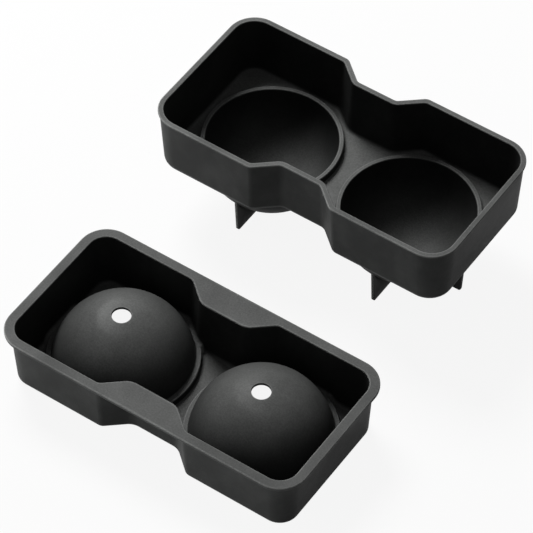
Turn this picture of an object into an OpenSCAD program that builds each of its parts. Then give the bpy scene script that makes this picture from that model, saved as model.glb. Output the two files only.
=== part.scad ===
// Ice ball mold: two soft moulded halves that nest around a pair of balls

/* [Balls] */
// Diameter of the ice balls
ball_d = 63.5; // [58:0.5:64.5]
// Distance between the two ball centres
ball_pitch = 77; // [75:0.5:80]
// Diameter of the fill hole in each dome
fill_hole_d = 9; // [6:0.2:14]

/* [Tray] */
// Length over the rim
tray_l = 162.5; // [160:0.5:180]
// Width over the rim
tray_w = 82.5; // [82:0.5:100]
// Depth of the base tray, from its rim down to its floor
tray_depth = 31.4; // [24:0.2:40]
// Radius of the four corners at the rim
corner_r = 14; // [11:0.5:20]
// Draft of the side walls in degrees
draft = 3; // [1:0.5:4]
// Thickness of the side walls
wall_t = 2; // [1.6:0.1:2.4]
// Thickness of the tray floors
floor_t = 2.2; // [1.8:0.1:3]
// How far the base's rim stands out past its wall
rim_lip = 0.7; // [0.4:0.1:1.2]
// Height of the rim's outside edge
rim_edge = 0.8; // [0.6:0.1:1.6]
// Thickness of the lid's flange
flange_t = 1.8; // [1.4:0.1:2.6]

/* [Waist] */
// Depth of the finger notch in each long side
notch_depth = 9.5; // [6:0.5:10]
// Length of the flat bottom of the notch
notch_flat = 24; // [18:1:30]
// Length of the notch where it opens in the long side
notch_mouth = 45; // [42:1:52]

/* [Cups] */
// Wall thickness of the base's cups
cup_t = 2; // [1.6:0.1:2.1]
// Wall thickness of the lid's domes
dome_t = 1.8; // [1.4:0.1:2.1]
// Width of the raised sealing lip round each cup
lip_t = 2.2; // [2.2:0.1:2.8]
// Height of the sealing lip above the base's floor
lip_h = 3.6; // [3:0.1:5]
// Height of the sealing lip's top above the ball's centre
lip_rise = 2.1; // [1:0.1:2.5]
// Clearance between the lid and the base when closed
fit = 0.3; // [0.2:0.05:0.5]
// Thickness of the lid's seal wall that goes outside the lip
seal_t = 1.6; // [1.2:0.1:2]

/* [Feet] */
// Thickness of the cross fins under each cup
fin_t = 1.9; // [1.4:0.1:3]
// Length of the fin that runs along the tray, at the floor
fin_l = 61; // [40:1:62]
// Length of the fin that runs across the tray, at the floor
fin_w = 58; // [40:1:60]
// How far the fins reach below the cups
foot_h = 2.2; // [1:0.1:5]

/* [Layout] */
// Distance between the halves' centres, across the tray
apart_y = 124.5; // [110:0.5:160]
// Shift of the lid along the tray
apart_x = 2.8; // [0:0.2:10]

/* [Hidden] */
silicone = "#222424";

// Rounding: rim edges, inside floor edge, outside floor edge, notch corners
edge_r = 0.4;
inner_fillet_r = 2;
outer_fillet_r = 3;
shoulder_r = 4;
hollow_r = 2.5;
// Steps round a corner, a notch corner, a fillet and a rim edge
corner_steps = 7;
notch_steps = 3;
fillet_steps = 3;
edge_steps = 2;
// Facets of the balls and the fill holes
ball_fn = 96;
hole_fn = 48;

slope = tan(draft);
ball_r = ball_d / 2;
cup_r = ball_r + cup_t;
dome_r = ball_r + dome_t;
lip_r = ball_r + lip_t;
groove_r = lip_r + fit;
seal_r = groove_r + seal_t;
notch_angle = atan2(notch_depth, (notch_mouth - notch_flat) / 2);
half_turn = tan(notch_angle / 2);

// Heights of the base, from the surface that its fins stand on
base_ball_z = foot_h + cup_r;
base_floor_z = base_ball_z + lip_rise - lip_h;
base_under_z = base_floor_z - floor_t;
rim_z = base_floor_z + tray_depth;
rim_foot_z = rim_z - rim_edge - rim_lip;
lip_z = base_floor_z + lip_h;

// Heights of the lid, from the surface that its floor lies on
lid_ball_z = lip_h - lip_rise - fit;
flange_z = tray_depth - fit;
lid_rim_z = flange_z + flange_t;
groove_z = lid_ball_z + lip_rise + fit;
seal_z = groove_z + floor_t;

// A point at angle a on a circle of radius r about c
function on_circle(c, r, a) = c + r * [cos(a), sin(a)];

// Quarter of the outline, inset by e from the rim, from the end round to the waist
function quarter(e, plain) =
    let (
        half_l = tray_l / 2 - e,
        half_w = tray_w / 2 - e,
        r = corner_r - e,
        hr = hollow_r + e,
        shoulder = [notch_mouth / 2 + (e + shoulder_r) * half_turn, half_w - shoulder_r],
        hollow = [notch_flat / 2 + (e - hr) * half_turn, half_w - notch_depth + hr],
        corner_pts = [for (i = [0 : corner_steps])
            on_circle([half_l - r, half_w - r], r, 90 * i / corner_steps)],
        shoulder_pts = [for (i = [0 : notch_steps])
            on_circle(shoulder, shoulder_r, 90 + notch_angle * i / notch_steps)],
        hollow_pts = [for (i = [0 : notch_steps])
            on_circle(hollow, hr, 270 + notch_angle * (1 - i / notch_steps))],
        notch_pts = concat(shoulder_pts, hollow_pts)
    )
    concat(corner_pts, plain ? [for (p = notch_pts) [p.x, half_w]] : notch_pts);

// The whole outline, from its quarter, anticlockwise
function outline(e, plain) =
    let (
        q = quarter(e, plain),
        last = len(q) - 1
    )
    concat(
        q,
        [for (i = [0 : last]) [-q[last - i].x, q[last - i].y]],
        [for (p = q) -p],
        [for (i = [0 : last]) [q[last - i].x, -q[last - i].y]]
    );

// Rows of a quarter round of radius r about [inset, height], from angle a to angle b
function round_rows(inset, height, r, a, b, steps, plain) =
    [for (i = [0 : steps])
        let (turn = a + (b - a) * i / steps)
        [inset + r * cos(turn), height + r * sin(turn), plain]];

// Closed skin through rows of [inset, height, plain], from the inside floor to the underside
module skin(rows) {
    rings = [for (row = rows) [for (p = outline(row[0], row[2])) [p.x, p.y, row[1]]]];
    count = len(rings[0]);
    final = len(rings) - 1;
    inside = count * len(rings);
    under = inside + 1;
    points = concat(
        [for (ring = rings) each ring],
        [[0, 0, rows[0][1]], [0, 0, rows[final][1]]]
    );
    sides = [for (k = [0 : final - 1]) for (i = [0 : count - 1])
        let (j = (i + 1) % count)
        [k * count + i, k * count + j, (k + 1) * count + j, (k + 1) * count + i]];
    floor_fan = [for (i = [0 : count - 1]) [inside, (i + 1) % count, i]];
    under_fan = [for (i = [0 : count - 1])
        [under, final * count + i, final * count + (i + 1) % count]];
    polyhedron(points, concat(sides, floor_fan, under_fan));
}

// Inset of the base's outside wall at height z
function base_out(z) = rim_lip + (rim_z - z) * slope;

// Inset of the lid's outside wall at height z, clear of the base when closed
function lid_out(z) = rim_lip + wall_t + fit + (flange_z - z) * slope;

// Rows from the inside floor up to just below the top edge, for a wall with inside inset in
function inside_rows(in, floor_z) =
    round_rows(in + inner_fillet_r, floor_z + inner_fillet_r, inner_fillet_r,
        270, 180, fillet_steps, false);

// Rows from the outside wall round to the underside, for a wall with outside inset out
function outside_rows(out, under_z) =
    round_rows(out + outer_fillet_r, under_z + outer_fillet_r, outer_fillet_r,
        180, 270, fillet_steps, false);

module base_tray() {
    in_top = base_out(rim_z) + wall_t;
    skin(concat(
        inside_rows(base_out(base_floor_z + inner_fillet_r) + wall_t, base_floor_z),
        round_rows(in_top - edge_r, rim_z - edge_r, edge_r, 0, 90, edge_steps, false),
        round_rows(edge_r, rim_z - edge_r, edge_r, 90, 180, edge_steps, false),
        [[0, rim_z - rim_edge, false], [base_out(rim_foot_z), rim_foot_z, false]],
        outside_rows(base_out(base_under_z + outer_fillet_r), base_under_z)
    ));
}

module lid_tray() {
    in_top = lid_out(lid_rim_z) + wall_t;
    skin(concat(
        inside_rows(lid_out(floor_t + inner_fillet_r) + wall_t, floor_t),
        round_rows(in_top - edge_r, lid_rim_z - edge_r, edge_r, 0, 90, edge_steps, false),
        round_rows(edge_r, lid_rim_z - edge_r, edge_r, 90, 180, edge_steps, true),
        round_rows(edge_r, flange_z + edge_r, edge_r, 180, 270, edge_steps, true),
        [[lid_out(flange_z), flange_z, false]],
        outside_rows(lid_out(outer_fillet_r), 0)
    ));
}

// Children at each ball centre, at height z
module at_balls(z) {
    for (side = [-1, 1])
        translate([side * ball_pitch / 2, 0, z])
            children();
}

// Upright plate of length l at its foot, drafted at both ends
module fin(l) {
    rise = base_ball_z;
    top = l / 2 + rise * slope;
    rotate([90, 0, 0])
        linear_extrude(height = fin_t, center = true)
            polygon([[-l / 2, 0], [l / 2, 0], [top, rise], [-top, rise]]);
}

module cross_fins() {
    intersection() {
        union() {
            fin(fin_l);
            rotate([0, 0, 90])
                fin(fin_w);
        }
        cylinder(h = base_under_z, r = cup_r);
    }
}

module mold_base() {
    color(silicone)
        translate([-apart_x / 2, apart_y / 2, 0])
            difference() {
                union() {
                    base_tray();
                    at_balls(base_ball_z)
                        sphere(r = cup_r, $fn = ball_fn);
                    at_balls(base_floor_z - floor_t / 2)
                        cylinder(h = lip_h + floor_t / 2, r = lip_r, $fn = ball_fn);
                    at_balls(0)
                        cross_fins();
                }
                at_balls(base_ball_z)
                    sphere(r = ball_r, $fn = ball_fn);
                at_balls(lip_z)
                    cylinder(h = cup_r, r = groove_r, $fn = ball_fn);
            }
}

module mold_lid() {
    color(silicone)
        translate([apart_x / 2, -apart_y / 2, 0])
            difference() {
                union() {
                    lid_tray();
                    at_balls(lid_ball_z)
                        sphere(r = dome_r, $fn = ball_fn);
                    at_balls(floor_t / 2)
                        cylinder(h = seal_z - floor_t / 2, r = seal_r, $fn = ball_fn);
                }
                at_balls(lid_ball_z)
                    sphere(r = ball_r, $fn = ball_fn);
                at_balls(groove_z - 2 * dome_r)
                    cylinder(h = 2 * dome_r, r = groove_r, $fn = ball_fn);
                at_balls(lid_ball_z)
                    cylinder(h = 2 * dome_r, d = fill_hole_d, $fn = hole_fn);
            }
}

mold_base();
mold_lid();
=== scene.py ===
"""Looks of the ice ball mold: two matte black silicone halves, as smooth skins in place of the solids."""

import math

import bmesh
import bpy
import numpy as np
from mathutils import Matrix, Vector


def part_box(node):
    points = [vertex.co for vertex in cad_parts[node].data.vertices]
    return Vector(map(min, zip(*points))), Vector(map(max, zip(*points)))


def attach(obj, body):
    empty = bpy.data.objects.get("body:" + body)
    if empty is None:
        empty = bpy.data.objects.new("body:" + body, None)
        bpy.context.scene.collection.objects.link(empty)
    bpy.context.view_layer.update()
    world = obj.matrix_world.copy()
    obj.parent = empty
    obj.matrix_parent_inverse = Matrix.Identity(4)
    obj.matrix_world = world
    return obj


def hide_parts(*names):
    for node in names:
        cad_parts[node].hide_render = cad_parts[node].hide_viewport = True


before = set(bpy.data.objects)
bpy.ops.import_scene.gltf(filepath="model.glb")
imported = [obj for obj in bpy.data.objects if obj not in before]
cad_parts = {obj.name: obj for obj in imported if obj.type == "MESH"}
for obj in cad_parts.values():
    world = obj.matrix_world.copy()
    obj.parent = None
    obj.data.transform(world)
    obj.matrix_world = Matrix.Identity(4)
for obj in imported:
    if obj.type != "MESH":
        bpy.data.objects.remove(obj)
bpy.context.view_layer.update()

MM = 0.001

# Sizes in millimetres: the balls, their distance from the tray's middle, and the fill holes
BALL_R = 31.75
BALL_X = 38.5
HOLE_R = 4.5

# Tray: length, width, depth, corners, slope of the drafted walls, thicknesses, rim and flange
TRAY_L = 162.5
TRAY_W = 82.5
TRAY_DEPTH = 31.4
CORNER_R = 14.0
SLOPE = math.tan(math.radians(3.0))
WALL_T = 2.0
FLOOR_T = 2.2
RIM_LIP = 0.7
RIM_EDGE = 0.8
FLANGE_T = 1.8

# Notch in each long side: depth, length of its flat and its mouth, place along the tray, and corners
NOTCH_DEPTH = 9.5
NOTCH_FLAT = 21.5
NOTCH_MOUTH = 44.0
NOTCH_SLIDE = -1.0
SHOULDER_R = 4.0
HOLLOW_R = 3.5
NOTCH_TURN = math.degrees(math.atan2(NOTCH_DEPTH, (NOTCH_MOUTH - NOTCH_FLAT) / 2))
HALF_TURN = math.tan(math.radians(NOTCH_TURN / 2))

# Cups and domes, the lip round each cup, and the lid's groove and seal ring that go over it
CUP_T = 2.0
DOME_T = 1.8
LIP_T = 2.2
LIP_H = 3.6
LIP_RISE = 2.1
SEAL_T = 1.6
FIT = 0.3
CUP_R = BALL_R + CUP_T
DOME_R = BALL_R + DOME_T
LIP_R = BALL_R + LIP_T
GROOVE_R = LIP_R + FIT
SEAL_R = GROOVE_R + SEAL_T

# Fins under each cup: height below it, thickness, and half their lengths at the foot
FOOT_H = 2.2
FIN_T = 1.9
FIN_HALF_ALONG = 30.5
FIN_HALF_ACROSS = 29.0

# Heights above the surface that each half stands on
BASE_BALL_Z = FOOT_H + CUP_R
BASE_FLOOR_Z = BASE_BALL_Z + LIP_RISE - LIP_H
BASE_UNDER_Z = BASE_FLOOR_Z - FLOOR_T
LIP_Z = BASE_FLOOR_Z + LIP_H
RIM_Z = BASE_FLOOR_Z + TRAY_DEPTH
RIM_FOOT_Z = RIM_Z - RIM_EDGE - RIM_LIP
LID_BALL_Z = LIP_H - LIP_RISE - FIT
LID_FLOOR_Z = FLOOR_T
GROOVE_Z = LID_BALL_Z + LIP_RISE + FIT
SEAL_Z = GROOVE_Z + FLOOR_T
FLANGE_Z = TRAY_DEPTH - FIT
LID_RIM_Z = FLANGE_Z + FLANGE_T

# Roundings that the moulded edges have
RIM_ROUND = 0.5
FOOT_ROUND = 0.3
FLOOR_ROUND = 2.0
BASE_UNDER_ROUND = 3.0
LID_UNDER_ROUND = 2.0
LIP_ROUND = 0.55
SEAL_ROUND = 0.6
ROOT_ROUND = 0.6
DOME_ROOT_ROUND = 0.8
CUP_ROOT_ROUND = 1.0
HOLE_ROUND = 0.35
HOLE_UNDER_ROUND = 0.9
GROOVE_ROUND = 0.25
FIN_ROUND = 0.5
FIN_CORNER_ROUND = 1.2

# How far a profile runs on past its last corner, in that corner's radii
WALL_TAIL = 1.15
LIP_TAIL = 1.05
RING_TAIL = 1.1
CUP_TAIL = 1.5

# Spread of the small upright walls from top to foot: inside of the lip, outside of lip and ring, groove
LIP_SPREAD = 0.07
RING_SPREAD = 0.15
GROOVE_SPREAD = 0.05

# Above the ball's middle: degrees at which a cup's arc ends, and millimetres at which the lip's run starts
CUP_OVER = 1.5
LIP_START = 1.0

# Degrees short of the line where a ball meets a tray: at the first the arc ends, and at the second the run
# into the rounded corner starts
CUP_GAP = (4.0, 3.0)
DOME_GAP = (3.0, 2.0)
HOLLOW_GAP = (1.5, 1.0)

# Fill hole: from its wall to the arcs of dome and hollow, and the seam's depth below its upper edge
HOLE_RIM = 1.0
HOLE_UNDER_RIM = 1.26
HOLE_SEAM = 0.455

# Where the seal ring lifts the wall's foot: height over which the wall eases back, and passes to settle it
RING_FADE = 14.0
LIFT_PASSES = 4

# Edge value from 0 to 1, for scuffing and painted edge highlight: rims, below the rims, lower edges, lips
# and holes, and the fins' faces
RIM_WEAR_AND_HIGHLIGHT = 1.0
RIM_FOOT_WEAR_AND_HIGHLIGHT = 0.6
UNDER_WEAR_AND_HIGHLIGHT = 0.5
RING_WEAR_AND_HIGHLIGHT = 0.8
FIN_WEAR_AND_HIGHLIGHT = 0.4

# Steps of the outline: half an end, a corner, a long side, a notch corner, a notch side, half the flat
END_STEPS = 10
CORNER_STEPS = 20
SIDE_STEPS = 12
BEND_STEPS = 8
FACET_STEPS = 6
FLAT_STEPS = 6

# Steps of the profiles and floors
ROUND_STEPS = 6
WALL_STEPS = 12
RIM_STEPS = 2
FLANGE_STEPS = 8
GROOVE_STEPS = 2
CUP_STEPS = 40
BACK_STEPS = 36
DOME_STEPS = 34
FLOOR_STEPS = 8
CENTRE_STEPS = 26
FIN_END_STEPS = 14
FIN_FOOT_STEPS = 24
FIN_ROUND_STEPS = 5
FIN_SEARCH_STEPS = 399

# A run has one more point this close to each rounding, or at this share of a short run, and no run counts
# as shorter than the last value
SUPPORT = 0.2
SUPPORT_SHARE = 0.3
SHORTEST_RUN = 1e-6

# Distance in metres under which the grids' points are joined
JOIN = 1e-6

# Grain: coarse and slow noise as shares of its fineness, the share of fine in height and of slow in tone,
# the noise's usual range, and the bump
COARSE_GRAIN = 0.22
SLOW_GRAIN = 0.02
FINE_SHARE = 0.65
SLOW_SHARE = 0.6
GRAIN_RANGE = (0.3, 0.7)
GRAIN_STRENGTH = 0.35
GRAIN_DEPTH = 0.00025

# Film: clouds in it, specks in it as a share of the grain's fineness, and its amount on scuffed edges,
# where it also paints highlights
CLOUD_SCALE = 32.0
CLOUD_RANGE = (0.3, 0.72)
CLOUD_LEVELS = (0.58, 1.0)
SPECK_SHARE = 0.9
SPECK_LEVELS = (0.84, 1.16)
RUBBED_AND_HIGHLIT = 0.42

# Smears: turn and stretch of their noise, and what they add to the film and take from the roughness
SMEAR_TURN = (0.3, 0.2, 0.5)
SMEAR_STRETCH = (60.0, 26.0, 42.0)
SMEAR_RANGE = (0.42, 0.72)
SMEAR_FILM = 0.05
SMEAR_POLISH = 0.06

# Silicone: spread of tint and roughness with the grain's tone, index of refraction, level of gloss
TINT_LEVELS = (0.8, 1.2)
ROUGH_SPREAD = (-0.05, 0.07)
SILICONE_IOR = 1.41
SILICONE_GLOSS = 0.1

# Floor in metres, and its grey
FLOOR_REACH = 6.0
FLOOR_LEVEL = -0.0001
FLOOR_GREY = 0.82

# White that rays see by themselves: the floor and the sky seen straight, and both in gloss
FLOOR_SEEN = 0.9
SKY_SEEN = 1.0
GLOSS_SEEN = 0.42

# Sky: the direction of its brighter side, and its strength on the dark and the bright side
SKY_BRIGHT_SIDE = (-0.66, 0.45, 0.6)
SKY_LEVELS = (0.06, 0.18)

# Lamps: name, place, width and height in metres, power in watts; and the point that they aim at
LAMPS = (
    ("key", (-0.59, 0.355, 0.89), 0.5, 0.5, 12.0),
    ("front_fill", (-0.56, -1.15, 0.03), 0.9, 0.05, 11.0),
    ("left_fill", (-1.26, -0.22, 0.03), 0.9, 0.05, 25.0),
)
LAMP_AIM = Vector((0.0, 0.0, 0.03))

# Camera: turn and tilt in degrees, place in metres, focal length and frame in pixels, sensor in mm
CAMERA_TURN = 34.555
CAMERA_TILT = 50.13
CAMERA_PLACE = (0.5792, -0.8413, 1.2554)
FOCAL_PIXELS = 3471.0
FRAME_PIXELS = 533.0
SENSOR = 36.0
CLIP_NEAR, CLIP_FAR = 0.05, 50.0


def rounded_path(corners, radii, worn_and_highlit, run_steps):
    """A path of straight runs with its inner corners rounded.

    An arc's ends lie radius over tan(half the corner's angle) back along both runs, and its points are
    the two end directions from the arc's centre, mixed by sines. A run has evenly spaced points between
    the arcs, and one more close to each arc. corners has columns across, height and any others; the
    result has those and an edge value for scuffing and painted edge highlight, given for each arc.
    """
    corners = np.asarray(corners, float)
    starts, arcs, ends = [corners[0]], [], []
    for before, here, after, radius in zip(corners, corners[1:], corners[2:], radii):
        back, on = before[:2] - here[:2], after[:2] - here[:2]
        back, on = back / np.linalg.norm(back), on / np.linalg.norm(on)
        half = math.acos(np.clip(back @ on, -1, 1)) / 2
        reach = radius / math.tan(half)
        middle = (back + on) / np.linalg.norm(back + on) * radius / math.sin(half)
        first, last = back * reach - middle, on * reach - middle
        turn = math.pi - 2 * half
        share = np.linspace(0, 1, ROUND_STEPS + 1)[:, None]
        swing = (np.sin((1 - share) * turn) * first + np.sin(share * turn) * last) / math.sin(turn)
        points = np.tile(here, (ROUND_STEPS + 1, 1))
        points[:, :2] += middle + swing
        arcs.append(points)
        ends.append(points[0])
        starts.append(points[-1])
    ends.append(corners[-1])
    parts = []
    for index, (start, end, steps) in enumerate(zip(starts, ends, run_steps)):
        after_arc, before_arc = index > 0, index < len(arcs)
        length = np.linalg.norm(end[:2] - start[:2])
        near = min(SUPPORT / max(length, SHORTEST_RUN), SUPPORT_SHARE)
        share = np.unique(np.concatenate([np.linspace(0, 1, steps + 1), [near, 1 - near]]))
        kept_start = share > 0 if after_arc else share >= 0
        kept_end = share < 1 if before_arc else share <= 1
        share = share[kept_start & kept_end]
        run = start + share[:, None] * (end - start)
        parts.append(np.column_stack([run, np.zeros(len(run))]))
        if before_arc:
            parts.append(np.column_stack([arcs[index], np.full(len(arcs[index]), worn_and_highlit[index])]))
    return np.concatenate(parts)


def on_ball(middle, radius, turn):
    """Points (across, height) on a circle about the ball's axis: radius times the cosine and the sine."""
    turn = np.radians(turn)
    return np.stack([radius * np.cos(turn), middle + radius * np.sin(turn)], axis=-1)


def ball_arc(middle, radius, start, end, steps):
    """An arc of on_ball's points between two angles, with edge value 0: no scuffing or painted highlight.
    """
    points = on_ball(middle, radius, np.linspace(start, end, steps + 1))
    return np.column_stack([points, np.zeros(len(points))])


def meeting(middle, radius, height):
    """Where a circle about the ball's axis reaches a height: the angle in degrees, and the distance.

    The angle's sine is the height above the circle's middle over its radius.
    """
    turn = math.asin((height - middle) / radius)
    return math.degrees(turn), radius * math.cos(turn)


# The circles that a quarter of the outline goes round, in order; the first and last have no size
END, CORNER, SHOULDER, HOLLOW, MIDDLE = range(5)


def stations():
    """The outline's stations on a quarter: which circles a point lies between, the directions, the share.

    A run between two circles has shares from 0 to 1, and a point on an arc has share 0.
    """
    def run(a, b, turn_a, turn_b, share):
        fixed = [np.full_like(share, value) for value in (a, b, turn_a, turn_b)]
        return np.column_stack([*fixed, share])

    def bend(a, start, end, steps):
        turn = np.linspace(start, end, steps + 1)
        return np.column_stack([np.full_like(turn, a), np.full_like(turn, a), turn, turn, 0 * turn])

    def shares(steps):
        return np.linspace(0, 1, steps + 1)

    return np.concatenate([
        run(END, CORNER, 0, 0, shares(END_STEPS)[:-1]),
        bend(CORNER, 0, 90, CORNER_STEPS),
        run(CORNER, SHOULDER, 90, 90, shares(SIDE_STEPS)[1:-1]),
        bend(SHOULDER, 90, 90 + NOTCH_TURN, BEND_STEPS),
        run(SHOULDER, HOLLOW, 90 + NOTCH_TURN, 270 + NOTCH_TURN, shares(FACET_STEPS)[1:-1]),
        bend(HOLLOW, 270 + NOTCH_TURN, 270, BEND_STEPS),
        run(HOLLOW, MIDDLE, 270, 270, shares(FLAT_STEPS)[1:]),
    ])


STATIONS = stations()


def quarter(inset, slide, plain):
    """A quarter of the tray's outline at the given insets, from an end's middle to the notch's middle.

    A point is the mix of two places, each a circle's centre plus its radius in a fixed direction; centres
    and radii change evenly with the inset, and the shoulder's radius stays. slide moves the notch along the
    tray, and plain draws its points out to the straight long side. inset has one value a row, or one a
    point; the result has shape (rows, points, 2).
    """
    inset = np.broadcast_to(inset, (len(inset), len(STATIONS)))
    zero = np.zeros_like(inset)
    half_l, half_w = TRAY_L / 2 - inset, TRAY_W / 2 - inset
    corner, shoulder, hollow = CORNER_R - inset, SHOULDER_R + zero, HOLLOW_R + inset
    x = np.stack([half_l, half_l - corner, slide + NOTCH_MOUTH / 2 + (inset + shoulder) * HALF_TURN,
                  slide + NOTCH_FLAT / 2 + (inset - hollow) * HALF_TURN, slide + zero])
    y = np.stack([zero, half_w - corner, half_w - shoulder, half_w - NOTCH_DEPTH + hollow,
                  half_w - NOTCH_DEPTH])
    size = np.stack([zero, corner, shoulder, hollow, zero])

    def place(circle, turn):
        pick = np.broadcast_to(circle.astype(int), inset.shape)[None]
        turn = np.radians(turn)
        at = [np.take_along_axis(a, pick, 0)[0] for a in (x, y, size)]
        return at[0] + at[2] * np.cos(turn), at[1] + at[2] * np.sin(turn)

    circle_a, circle_b, turn_a, turn_b, share = STATIONS.T
    ax, ay = place(circle_a, turn_a)
    bx, by = place(circle_b, turn_b)
    px, py = ax + share * (bx - ax), ay + share * (by - ay)
    drawn = np.where(circle_b >= SHOULDER, plain, 0.0)
    return np.stack([px, py + drawn * (half_w - py)], axis=-1)


def ring_rows(path, slide, lift=0.0):
    """The wall's rows: at each row of the path, the outline at its inset and height, drawn out by plain.

    lift raises the foot of the inside wall point by point, less and less towards the rim, and the inset
    follows the wall's draft.
    """
    inset, height, plain, wear_and_highlight = np.split(path, 4, axis=1)
    inset, height = inset - lift * SLOPE, height + lift
    outline = quarter(inset, slide, plain)
    others = [np.broadcast_to(values, outline.shape[:2])[..., None] for values in (height, wear_and_highlight)]
    return np.concatenate([outline, *others], axis=-1)


def whole(right, left):
    """Closed rings of two quarters' rows: the right one, the left one's image, and both images in front."""
    across = left * [-1, 1, 1, 1]
    along = right * [1, -1, 1, 1]
    return np.concatenate(
        [right, across[:, -2::-1], (across * [1, -1, 1, 1])[:, 1:], along[:, -2:0:-1]], axis=1)


def half_edge(row):
    """The edge of half the tray from a quarter's row: up the side, then back from notch to notch."""
    share = np.linspace(1, -1, CENTRE_STEPS + 1)[1:-1, None]
    one = np.ones_like(share)
    centre_line = row[-1] * np.concatenate([one, share, one, one], axis=1)
    return np.concatenate([(row * [1, -1, 1, 1])[::-1], row[1:], centre_line])


def angles(edge):
    """Direction of each edge point from the ball's axis."""
    return np.arctan2(edge[:, 1], edge[:, 0] - BALL_X)


def around_ball(profile, edge, turns):
    """A profile turned about the ball's axis, then drawn straight out to the tray's edge.

    A point is the ball's centre plus the profile's distance in the direction of the edge point's angle;
    where the edge is nearer than the profile reaches, the distance stops there and the height is read off
    the profile.
    """
    reach = np.hypot(edge[:, 0] - BALL_X, edge[:, 1])
    across = np.minimum(profile[:, None, 0], reach)
    cut = profile[:, None, 0] > reach
    height = np.where(cut, np.interp(across, profile[:, 0], profile[:, 1]), profile[:, None, 1])
    wear_and_highlight = np.where(cut, 0, profile[:, None, 2])
    rows = np.stack([BALL_X + across * np.cos(turns), across * np.sin(turns), height, wear_and_highlight], axis=-1)
    share = np.linspace(0, 1, FLOOR_STEPS + 1)[1:, None, None]
    return np.concatenate([rows, rows[-1] + share * (edge - rows[-1])])


def grid_faces(rows, columns):
    """Quads of a grid closed along its rows, each from one row to the next and one column to the next."""
    here = np.arange(rows * columns).reshape(rows, columns)
    beside = np.roll(here, -1, axis=1)
    return np.stack([here[:-1], here[1:], beside[1:], beside[:-1]], axis=-1).reshape(-1, 4)


class Skin:
    """Grids that together make one closed skin, gathered in millimetres about a half's own centre."""

    def __init__(self):
        self.points, self.faces, self.count = [], [], 0

    def add(self, rows, turned=False):
        """A grid of points (x, y, height, edge value for scuffing and painted highlight), with its faces
        the other way round if turned.
        """
        faces = grid_faces(*rows.shape[:2]) + self.count
        self.points.append(rows.reshape(-1, 4))
        self.faces.append(faces[:, ::-1] if turned else faces)
        self.count += rows.shape[0] * rows.shape[1]

    def add_halves(self, right, left, turned=False):
        """The right half's grid, and the left half's as an image with its faces the other way round."""
        self.add(right, turned)
        self.add(left * [-1, 1, 1, 1], not turned)

    def piece(self, name, centre, material):
        """The object: all grids moved to the half's centre and joined where they meet, with their edge
        value for scuffing and painted highlight.
        """
        points, faces = np.concatenate(self.points), np.concatenate(self.faces)
        mesh = bpy.data.meshes.new(name)
        mesh.from_pydata(((points[:, :3] + [*centre, 0]) * MM).tolist(), [], faces.tolist())
        # Edge value kept on the mesh: scuffing, and where the film paints edge highlights and reflections.
        wear_and_highlight = mesh.attributes.new("edge_wear_and_highlight", "FLOAT", "POINT")
        wear_and_highlight.data.foreach_set("value", points[:, 3].astype(np.float32))
        work = bmesh.new()
        work.from_mesh(mesh)
        bmesh.ops.remove_doubles(work, verts=work.verts, dist=JOIN)
        work.to_mesh(mesh)
        work.free()
        mesh.polygons.foreach_set("use_smooth", np.ones(len(mesh.polygons), bool))
        mesh.materials.append(material)
        made = bpy.data.objects.new(name, mesh)
        bpy.context.scene.collection.objects.link(made)
        return made


def fin_rows(half_foot):
    """An upright fin: a rounded edge carried down one end, along the foot and up the other end.

    The faces run up to an arc inside the cup's wall. At a path point with outward direction n, the edge's
    points are the path less n times the rounding's depth, at the rounding's distance from the fin's
    middle. Inside the wall each end closes in the mean of its last row.
    """
    buried = (BALL_R + CUP_R) / 2
    rise = np.linspace(0, BASE_BALL_Z, FIN_SEARCH_STEPS + 1)
    top = rise[np.argmax(np.hypot(half_foot + rise * SLOPE, rise - BASE_BALL_Z) < buried)]
    half_top = half_foot + top * SLOPE
    path = rounded_path(
        [[-half_top, top], [-half_foot, 0], [half_foot, 0], [half_top, top]],
        [FIN_CORNER_ROUND] * 2, [0, 0], [FIN_END_STEPS, FIN_FOOT_STEPS, FIN_END_STEPS])[:, :2]
    ahead = np.gradient(path, axis=0)
    ahead /= np.linalg.norm(ahead, axis=1, keepdims=True)
    outward = np.column_stack([ahead[:, 1], -ahead[:, 0]])
    spoke = path - [0, BASE_BALL_Z]
    inner = [0, BASE_BALL_Z] + spoke / np.linalg.norm(spoke, axis=1, keepdims=True) * buried
    count = FIN_ROUND_STEPS + 1
    turn = np.radians(np.concatenate([np.linspace(-90, 0, count), np.linspace(0, 90, count)]))
    depth = FIN_ROUND * (1 - np.cos(turn))
    side = np.repeat([-1, 1], count) * (FIN_T / 2 - FIN_ROUND) + FIN_ROUND * np.sin(turn)
    edge = path[:, None] - depth[None, :, None] * outward[:, None]
    # Edge value on the fin: full on the rounded edge, less on the faces; scuffing, and painted light for
    # the bright floor that the fins face.
    wear_and_highlight = np.broadcast_to(FIN_WEAR_AND_HIGHLIGHT + (1 - FIN_WEAR_AND_HIGHLIGHT) * np.sqrt(np.cos(turn)), edge.shape[:2])
    flat = np.concatenate([inner[:, None], edge, inner[:, None]], axis=1)
    across = np.broadcast_to(np.concatenate([[-FIN_T / 2], side, [FIN_T / 2]]), flat.shape[:2])
    wear_and_highlight = np.pad(wear_and_highlight, ((0, 0), (1, 1)), constant_values=FIN_WEAR_AND_HIGHLIGHT)
    rows = np.stack([flat[..., 0], across, flat[..., 1], wear_and_highlight], axis=-1)
    ends = np.broadcast_to(rows[[0, -1]].mean(axis=1, keepdims=True), rows[[0, -1]].shape)
    return np.concatenate([ends[:1], rows, ends[1:]])


def base_out(z):
    """Inset of the base's outside wall at height z, from its draft."""
    return RIM_LIP + (RIM_Z - z) * SLOPE


def lid_out(z):
    """Inset of the lid's outside wall at height z, from its draft."""
    return RIM_LIP + WALL_T + FIT + (FLANGE_Z - z) * SLOPE


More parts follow.
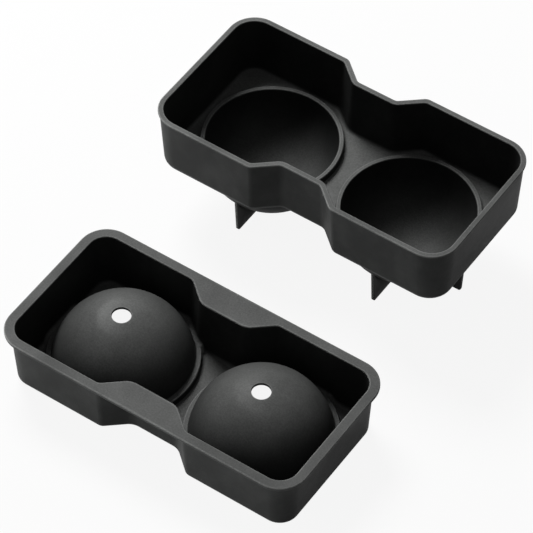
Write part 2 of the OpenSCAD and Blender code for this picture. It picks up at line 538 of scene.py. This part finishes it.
def base_wall():
    """Profile of the base's wall: up the inside, over the rim and down to the underside.

    Its columns are inset, height, plain, and an edge value for scuffing and painted highlight; the base's
    rim follows the notch, so plain is 0.
    """
    foot = base_out(BASE_FLOOR_Z) + WALL_T
    under = base_out(BASE_UNDER_Z)
    return rounded_path(
        [[foot + FLOOR_ROUND * WALL_TAIL, BASE_FLOOR_Z, 0],
         [foot, BASE_FLOOR_Z, 0],
         [base_out(RIM_Z) + WALL_T, RIM_Z, 0],
         [0, RIM_Z, 0],
         [0, RIM_Z - RIM_EDGE, 0],
         [base_out(RIM_FOOT_Z), RIM_FOOT_Z, 0],
         [under, BASE_UNDER_Z, 0],
         [under + BASE_UNDER_ROUND * WALL_TAIL, BASE_UNDER_Z, 0]],
        [FLOOR_ROUND, RIM_ROUND, RIM_ROUND, FOOT_ROUND, FOOT_ROUND, BASE_UNDER_ROUND],
        [0, RIM_WEAR_AND_HIGHLIGHT, RIM_WEAR_AND_HIGHLIGHT, RIM_FOOT_WEAR_AND_HIGHLIGHT, 0, UNDER_WEAR_AND_HIGHLIGHT],
        [1, WALL_STEPS, RIM_STEPS, 1, 1, WALL_STEPS, 1])


def cup_inside():
    """Profile of a cup from its bottom: the ball's arc, up and over the lip, and down to the floor."""
    lip_foot = LIP_R + RING_SPREAD
    lip = rounded_path(
        [[BALL_R, BASE_BALL_Z + LIP_START],
         [BALL_R - LIP_SPREAD, LIP_Z],
         [LIP_R, LIP_Z],
         [lip_foot, BASE_FLOOR_Z],
         [lip_foot + ROOT_ROUND * LIP_TAIL, BASE_FLOOR_Z]],
        [LIP_ROUND, LIP_ROUND, ROOT_ROUND], [RING_WEAR_AND_HIGHLIGHT, RING_WEAR_AND_HIGHLIGHT, 0], [1, 1, 1, 1])
    return np.concatenate([ball_arc(BASE_BALL_Z, BALL_R, -90, CUP_OVER, CUP_STEPS), lip])


def cup_back():
    """Profile of a cup's back from its bottom: the wall's arc, rounded into the tray's underside."""
    turn, reach = meeting(BASE_BALL_Z, CUP_R, BASE_UNDER_Z)
    root = rounded_path(
        [on_ball(BASE_BALL_Z, CUP_R, turn - CUP_GAP[1]),
         [reach, BASE_UNDER_Z],
         [reach + CUP_ROOT_ROUND * CUP_TAIL, BASE_UNDER_Z]],
        [CUP_ROOT_ROUND], [0], [1, 1])
    return np.concatenate([ball_arc(BASE_BALL_Z, CUP_R, -90, turn - CUP_GAP[0], BACK_STEPS), root])


def mold_base(centre, material):
    """The base: inside floor with cups and lips, wall over the rim, underside with cup backs, and fins."""
    skin = Skin()
    sides = [ring_rows(base_wall(), slide) for slide in (NOTCH_SLIDE, -NOTCH_SLIDE)]
    skin.add(whole(*sides))
    edges = [half_edge(rows[0]) for rows in sides]
    skin.add_halves(*[around_ball(cup_inside(), edge, angles(edge)) for edge in edges])
    edges = [half_edge(rows[-1]) for rows in sides]
    skin.add_halves(*[around_ball(cup_back(), edge, angles(edge)) for edge in edges], turned=True)
    along = fin_rows(FIN_HALF_ALONG)
    across = fin_rows(FIN_HALF_ACROSS)[..., [1, 0, 2, 3]] * [-1, 1, 1, 1]
    for fin in (along, across):
        skin.add(fin + [BALL_X, 0, 0, 0], turned=True)
        skin.add(fin - [BALL_X, 0, 0, 0], turned=True)
    return skin.piece("base_half", centre, material)


def lid_wall():
    """Profile of the lid's wall: up the inside, over the flange and down to the underside.

    Its columns are inset, height, plain, and an edge value for scuffing and painted highlight; plain is 1
    at the flange's edge, which bridges the notch.
    """
    foot = lid_out(LID_FLOOR_Z) + WALL_T
    under = lid_out(0)
    return rounded_path(
        [[foot + FLOOR_ROUND * WALL_TAIL, LID_FLOOR_Z, 0],
         [foot, LID_FLOOR_Z, 0],
         [lid_out(LID_RIM_Z) + WALL_T, LID_RIM_Z, 0],
         [0, LID_RIM_Z, 1],
         [0, FLANGE_Z, 1],
         [lid_out(FLANGE_Z), FLANGE_Z, 0],
         [under, 0, 0],
         [under + LID_UNDER_ROUND * RING_TAIL, 0, 0]],
        [FLOOR_ROUND, RIM_ROUND, RIM_ROUND, RIM_ROUND, RIM_ROUND, LID_UNDER_ROUND],
        [0, RIM_WEAR_AND_HIGHLIGHT, RIM_WEAR_AND_HIGHLIGHT, RIM_FOOT_WEAR_AND_HIGHLIGHT, 0, UNDER_WEAR_AND_HIGHLIGHT],
        [1, WALL_STEPS, FLANGE_STEPS, 1, FLANGE_STEPS, WALL_STEPS, 1])


def hole_edge(seam, height, arc, radius):
    """Profile of the fill hole's wall from its seam to its edge, rounded into the start of an arc."""
    corners = [[HOLE_R, seam], [HOLE_R, height], arc[0, :2]]
    return rounded_path(corners, [radius], [RING_WEAR_AND_HIGHLIGHT], [1, 1])[:-1]


def hole_height(radius):
    """Height at which a ball of this radius about the lid's ball centre meets the fill hole."""
    return LID_BALL_Z + math.sqrt(radius ** 2 - HOLE_R ** 2)


def dome_outside():
    """Profile of a dome, out from its fill hole: hole wall, dome arc, seal ring and floor."""
    turn, reach = meeting(LID_BALL_Z, DOME_R, SEAL_Z)
    start = math.degrees(math.acos((HOLE_R + HOLE_RIM) / DOME_R))
    arc = ball_arc(LID_BALL_Z, DOME_R, start, turn + DOME_GAP[0], DOME_STEPS)
    ring_foot = SEAL_R + RING_SPREAD
    ring = rounded_path(
        [on_ball(LID_BALL_Z, DOME_R, turn + DOME_GAP[1]),
         [reach, SEAL_Z],
         [SEAL_R, SEAL_Z],
         [ring_foot, LID_FLOOR_Z],
         [ring_foot + ROOT_ROUND * RING_TAIL, LID_FLOOR_Z]],
        [DOME_ROOT_ROUND, SEAL_ROUND, ROOT_ROUND], [0, RING_WEAR_AND_HIGHLIGHT, 0], [1, 1, 1, 1])
    top = hole_height(DOME_R)
    return np.concatenate([hole_edge(top - HOLE_SEAM, top, arc, HOLE_ROUND), arc, ring])


def dome_hollow():
    """Profile under a dome, out from its fill hole: hole wall, ball arc, groove and underside."""
    turn, reach = meeting(LID_BALL_Z, BALL_R, GROOVE_Z)
    start = math.degrees(math.acos((HOLE_R + HOLE_UNDER_RIM) / BALL_R))
    arc = ball_arc(LID_BALL_Z, BALL_R, start, turn + HOLLOW_GAP[0], DOME_STEPS)
    groove_foot = GROOVE_R + GROOVE_SPREAD
    groove = rounded_path(
        [on_ball(LID_BALL_Z, BALL_R, turn + HOLLOW_GAP[1]),
         [reach, GROOVE_Z],
         [GROOVE_R, GROOVE_Z],
         [groove_foot, 0],
         [groove_foot + GROOVE_ROUND * RING_TAIL, 0]],
        [GROOVE_ROUND] * 3, [0, 0, UNDER_WEAR_AND_HIGHLIGHT], [1, 1, GROOVE_STEPS, 1])
    seam = hole_height(DOME_R) - HOLE_SEAM
    return np.concatenate([hole_edge(seam, hole_height(BALL_R), arc, HOLE_UNDER_ROUND), arc, groove])


def lid_side(wall, dome, slide):
    """The wall's rows on one side of the lid, its foot lifted onto the seal ring where the ring meets it.

    The lift is the ring's height at the foot's distance from the ball's axis, less the floor's height. The
    lift moves the foot in turn, so it is worked out in a few passes.
    """
    ring = dome[dome[:, 0] > meeting(LID_BALL_Z, DOME_R, SEAL_Z)[1]]
    fade = np.clip(1 - (wall[:, 1:2] - LID_FLOOR_Z) / RING_FADE, 0, 1)
    fade = np.where(np.arange(len(wall))[:, None] < np.argmax(wall[:, 1]), fade, 0)
    lift = np.zeros((1, len(STATIONS)))
    for _ in range(LIFT_PASSES):
        foot = ring_rows(wall, slide, fade * lift)[0]
        reach = np.hypot(foot[:, 0] - BALL_X, foot[:, 1])
        lift = np.interp(reach, ring[:, 0], ring[:, 1], right=LID_FLOOR_Z)[None] - LID_FLOOR_Z
    return ring_rows(wall, slide, fade * lift)


def mold_lid(centre, material):
    """The lid: floor with seal rings and domes, wall over the flange, underside with grooves and hollows.

    The underside's edge takes the floor's directions, so both sides of the fill holes meet point by point.
    """
    skin = Skin()
    dome, hollow = dome_outside(), dome_hollow()
    sides = [lid_side(lid_wall(), dome, slide) for slide in (NOTCH_SLIDE, -NOTCH_SLIDE)]
    skin.add(whole(*sides))
    edges = [half_edge(rows[0]) for rows in sides]
    turns = [angles(edge) for edge in edges]
    skin.add_halves(*[around_ball(dome, edge, turn) for edge, turn in zip(edges, turns)])
    edges = [half_edge(rows[-1]) for rows in sides]
    skin.add_halves(*[around_ball(hollow, edge, turn) for edge, turn in zip(edges, turns)], turned=True)
    return skin.piece("lid_half", centre, material)


def node(tree, kind, feeds=None, **settings):
    """A shader node with its settings, its inputs set to values or linked to sockets."""
    made = tree.nodes.new(kind)
    for key, value in settings.items():
        setattr(made, key, value)
    for key, value in (feeds or {}).items():
        if isinstance(value, bpy.types.NodeSocket):
            tree.links.new(value, made.inputs[key])
        else:
            made.inputs[key].default_value = value
    return made


def math_node(tree, operation, a, b=0.0, clamp=False):
    """The output of a Math node."""
    return node(tree, "ShaderNodeMath", {0: a, 1: b}, operation=operation, use_clamp=clamp).outputs[0]


def weighted(tree, first, second, share):
    """A share of the first value, and the rest of the second."""
    return math_node(tree, "ADD", math_node(tree, "MULTIPLY", first, share),
                     math_node(tree, "MULTIPLY", second, 1 - share))


def spread(tree, value, given, wanted=(0.0, 1.0)):
    """A value stretched from one range to another, and held inside it."""
    feeds = {"Value": value, "From Min": given[0], "From Max": given[1],
             "To Min": wanted[0], "To Max": wanted[1]}
    return node(tree, "ShaderNodeMapRange", feeds).outputs[0]


def mix_colours(tree, share, first, second):
    """The colour of a Mix node, from its colour sockets."""
    return node(tree, "ShaderNodeMix", {0: share, 6: first, 7: second}, data_type="RGBA").outputs[2]


def opaque(colour, level=1.0):
    """A colour at some level, with full alpha."""
    return (*[part * level for part in colour], 1)


def noise(tree, position, scale, detail, roughness):
    """The value of a noise texture."""
    feeds = {"Vector": position, "Scale": scale, "Detail": detail, "Roughness": roughness}
    return node(tree, "ShaderNodeTexNoise", feeds).outputs[0]


def shader_group(name, inputs, outputs):
    """An empty shader group with named sockets: the tree, its inputs and its output node."""
    tree = bpy.data.node_groups.new(name, "ShaderNodeTree")
    for label in inputs:
        kind = "NodeSocketVector" if label == "Position" else "NodeSocketFloat"
        tree.interface.new_socket(name=label, in_out="INPUT", socket_type=kind)
    for label in outputs:
        tree.interface.new_socket(name=label, in_out="OUTPUT", socket_type="NodeSocketFloat")
    return tree, tree.nodes.new("NodeGroupInput").outputs, tree.nodes.new("NodeGroupOutput")


def moulded_grain_group():
    """Fine grain that the mould's blasted steel leaves: small bumps, and a slow change of tone."""
    tree, given, out = shader_group("moulded_grain", ["Position", "Fineness"], ["Height", "Tone"])

    def grain(share, detail, roughness):
        scale = math_node(tree, "MULTIPLY", given["Fineness"], share)
        return noise(tree, given["Position"], scale, detail, roughness)

    fine = grain(1.0, detail=2.0, roughness=0.6)
    coarse = grain(COARSE_GRAIN, detail=3.0, roughness=0.6)
    slow = grain(SLOW_GRAIN, detail=3.0, roughness=0.5)
    slow_tone, coarse_tone = spread(tree, slow, GRAIN_RANGE), spread(tree, coarse, GRAIN_RANGE)
    tree.links.new(weighted(tree, fine, coarse, FINE_SHARE), out.inputs["Height"])
    tree.links.new(weighted(tree, slow_tone, coarse_tone, SLOW_SHARE), out.inputs["Tone"])
    return tree


def dust_and_top_light_group():
    """Pale film on the silicone: a dusty film with painted top light on faces that look up, clouds and
    specks in it, and scuffing with painted highlights on edges.

    Film is Amount times Up to the power Fall, plus the edges' value times a share, times clouds, times
    specks. The part from Up lightens faces by how far they face up, which paints the light from above as
    well as the dusty film.
    """
    labels = ["Position", "Up", "Wear", "Specks", "Amount", "Fall"]
    tree, given, out = shader_group("dust_and_top_light_film", labels, ["Film"])
    cloudy = noise(tree, given["Position"], CLOUD_SCALE, detail=4.0, roughness=0.6)
    specked = noise(tree, given["Position"], given["Specks"], detail=1.0, roughness=0.5)
    clouds = spread(tree, cloudy, CLOUD_RANGE, CLOUD_LEVELS)
    specks = spread(tree, specked, GRAIN_RANGE, SPECK_LEVELS)
    # Painted top light: faces lighter the more they face up, together with the dusty film that settles
    # there.
    risen = math_node(tree, "POWER", given["Up"], given["Fall"])
    settled_and_top_lit = math_node(tree, "MULTIPLY", risen, given["Amount"])
    # Painted edge highlight: edges lighter by their edge value, together with scuffing.
    rubbed_and_highlit = math_node(tree, "MULTIPLY", given["Wear"], RUBBED_AND_HIGHLIT)
    film = math_node(tree, "MULTIPLY", math_node(tree, "ADD", settled_and_top_lit, rubbed_and_highlit),
                     math_node(tree, "MULTIPLY", clouds, specks), clamp=True)
    tree.links.new(film, out.inputs["Film"])
    return tree


def hand_marks_group():
    """Soft smears that handling leaves: stretched patches, a little smoother than the rest."""
    tree, given, out = shader_group("hand_marks", ["Position"], ["Smear"])
    feeds = {"Vector": given["Position"], "Rotation": SMEAR_TURN, "Scale": SMEAR_STRETCH}
    drawn = node(tree, "ShaderNodeMapping", feeds).outputs[0]
    patches = noise(tree, drawn, 1.0, detail=5.0, roughness=0.65)
    tree.links.new(spread(tree, patches, SMEAR_RANGE), out.inputs["Smear"])
    return tree


def silicone(name, effects, tint, dust_and_light_colour, amount, fall, fineness, rough):
    """Matte black silicone: dark body, pale film in its colour (dusty film and scuffing, and painted top
    light and edge highlights), grain in its roughness and bump.
    """
    made = bpy.data.materials.new(name)
    made.use_nodes = True
    tree = made.node_tree
    tree.nodes.clear()
    position = node(tree, "ShaderNodeTexCoord").outputs["Object"]
    normal = node(tree, "ShaderNodeNewGeometry").outputs["Normal"]
    facing = node(tree, "ShaderNodeSeparateXYZ", {0: normal}).outputs["Z"]
    wear_and_highlight = node(tree, "ShaderNodeAttribute", attribute_name="edge_wear_and_highlight").outputs["Fac"]

    def effect(key, **feeds):
        feeds = {"Position": position, **feeds}
        return node(tree, "ShaderNodeGroup", feeds, node_tree=effects[key]).outputs

    grain = effect("grain", Fineness=fineness)
    # The film lightens faces that look up and marked edges: dusty film and scuffing, and also painted top
    # light and painted edge highlights.
    dust_and_light = effect("dust_and_light", Up=math_node(tree, "MAXIMUM", facing, 0.0), Wear=wear_and_highlight,
                  Specks=fineness * SPECK_SHARE, Amount=amount, Fall=fall)
    smear = effect("marks")["Smear"]
    body = mix_colours(tree, grain["Tone"], *[opaque(tint, level) for level in TINT_LEVELS])
    film = math_node(tree, "ADD", dust_and_light["Film"], math_node(tree, "MULTIPLY", smear, SMEAR_FILM))
    uneven = spread(tree, grain["Tone"], (0.0, 1.0), [rough + change for change in ROUGH_SPREAD])
    polished = math_node(tree, "MULTIPLY", smear, SMEAR_POLISH)
    bump = node(tree, "ShaderNodeBump", {"Strength": GRAIN_STRENGTH, "Distance": GRAIN_DEPTH,
                                         "Height": grain["Height"]})
    shader = node(tree, "ShaderNodeBsdfPrincipled", {
        "Base Color": mix_colours(tree, film, body, opaque(dust_and_light_colour)),
        "Roughness": math_node(tree, "SUBTRACT", uneven, polished),
        "Normal": bump.outputs[0],
        "IOR": SILICONE_IOR,
        "Specular IOR Level": SILICONE_GLOSS,
    })
    node(tree, "ShaderNodeOutputMaterial", {"Surface": shader.outputs[0]})
    return made


def seen_directly(tree, straight, in_gloss):
    """The white that a ray sees by itself: straight or through glass, and off gloss; 0 for lighting."""
    rays = node(tree, "ShaderNodeLightPath").outputs
    direct = math_node(tree, "MAXIMUM", rays["Is Camera Ray"], rays["Is Transmission Ray"])
    return math_node(tree, "MAXIMUM", math_node(tree, "MULTIPLY", direct, straight),
                     math_node(tree, "MULTIPLY", rays["Is Glossy Ray"], in_gloss))


def pale_floor():
    """A pale floor, mostly white to the camera, that keeps a faint shadow."""
    paper = bpy.data.materials.new("pale_paper")
    paper.use_nodes = True
    tree = paper.node_tree
    tree.nodes.clear()
    matte = node(tree, "ShaderNodeBsdfDiffuse", {"Color": (FLOOR_GREY, FLOOR_GREY, FLOOR_GREY, 1)})
    glow = node(tree, "ShaderNodeEmission", {"Color": (1, 1, 1, 1), "Strength": 1.0})
    share = seen_directly(tree, FLOOR_SEEN, GLOSS_SEEN)
    mixed = node(tree, "ShaderNodeMixShader", {0: share, 1: matte.outputs[0], 2: glow.outputs[0]})
    node(tree, "ShaderNodeOutputMaterial", {"Surface": mixed.outputs[0]})
    ways = ((-1, -1), (1, -1), (1, 1), (-1, 1))
    corners = [(x * FLOOR_REACH, y * FLOOR_REACH, FLOOR_LEVEL) for x, y in ways]
    mesh = bpy.data.meshes.new("floor")
    mesh.from_pydata(corners, [], [(0, 1, 2, 3)])
    mesh.materials.append(paper)
    floor = bpy.data.objects.new("floor", mesh)
    bpy.context.scene.collection.objects.link(floor)


def white_room():
    """Surroundings that are white to the camera, and light the object softly from one side."""
    world = bpy.data.worlds.new("white_room")
    bpy.context.scene.world = world
    world.use_nodes = True
    tree = world.node_tree
    tree.nodes.clear()
    direction = node(tree, "ShaderNodeTexCoord").outputs["Generated"]
    feeds = {0: direction, 1: SKY_BRIGHT_SIDE}
    toward = node(tree, "ShaderNodeVectorMath", feeds, operation="DOT_PRODUCT").outputs["Value"]
    lighting = spread(tree, toward, (-1.0, 1.0), SKY_LEVELS)
    strength = math_node(tree, "MAXIMUM", lighting, seen_directly(tree, SKY_SEEN, GLOSS_SEEN))
    sky = node(tree, "ShaderNodeBackground", {"Color": (1, 1, 1, 1), "Strength": strength})
    node(tree, "ShaderNodeOutputWorld", {"Surface": sky.outputs[0]})


def lamps():
    """A soft light overhead and two low strips, none in the camera's view, and only the first in gloss."""
    for name, place, width, height, power in LAMPS:
        lamp = bpy.data.lights.new(name, "AREA")
        lamp.shape, lamp.size, lamp.size_y, lamp.energy = "ELLIPSE", width, height, power
        light = bpy.data.objects.new(name, lamp)
        light.location = place
        light.rotation_euler = (LAMP_AIM - light.location).to_track_quat("-Z", "Y").to_euler()
        light.visible_camera = False
        light.visible_glossy = name == "key"
        bpy.context.scene.collection.objects.link(light)


def camera():
    """A long lens from the right and above: turned about the upright, tilted down, at a fixed place."""
    turn, tilt = math.radians(CAMERA_TURN), math.radians(CAMERA_TILT)
    right = np.array([math.cos(turn), math.sin(turn), 0.0])
    ahead = np.array([-math.sin(turn), math.cos(turn), 0.0])
    upright = np.array([0.0, 0.0, 1.0])
    up = math.sin(tilt) * ahead + math.cos(tilt) * upright
    forward = math.cos(tilt) * ahead - math.sin(tilt) * upright
    lens = bpy.data.cameras.new("camera")
    lens.sensor_width, lens.lens = SENSOR, SENSOR * FOCAL_PIXELS / FRAME_PIXELS
    lens.clip_start, lens.clip_end = CLIP_NEAR, CLIP_FAR
    made = bpy.data.objects.new("camera", lens)
    columns = np.column_stack([right, up, -forward, CAMERA_PLACE])
    made.matrix_world = Matrix([*columns.tolist(), [0, 0, 0, 1]])
    bpy.context.scene.collection.objects.link(made)
    bpy.context.scene.camera = made


def middle_of(name):
    """The middle of a node's box across the floor, in millimetres."""
    low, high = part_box(name)
    return (low.x + high.x) / 2 / MM, (low.y + high.y) / 2 / MM


bpy.context.scene.view_settings.view_transform = "Standard"
shared = {"grain": moulded_grain_group(), "dust_and_light": dust_and_top_light_group(), "marks": hand_marks_group()}
# One silicone in two copies: the lid's has a lighter body and film colour and film that falls off more
# slowly with slope, set for the brighter light on the lid, so that difference is painted light.
base_silicone = silicone(
    "base_silicone", shared, tint=(0.016, 0.0166, 0.0163), dust_and_light_colour=(0.183, 0.187, 0.183),
    amount=0.74, fall=2.5, fineness=1500.0, rough=0.5)
lid_silicone = silicone(
    "lid_silicone", shared, tint=(0.02, 0.0207, 0.0203), dust_and_light_colour=(0.198, 0.202, 0.198),
    amount=0.58, fall=1.4, fineness=1350.0, rough=0.5)

base_half = mold_base(middle_of("mold_base"), base_silicone)
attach(base_half, "base")
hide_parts("mold_base")

lid_half = mold_lid(middle_of("mold_lid"), lid_silicone)
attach(lid_half, "lid")
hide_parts("mold_lid")

pale_floor()
white_room()
lamps()
camera()
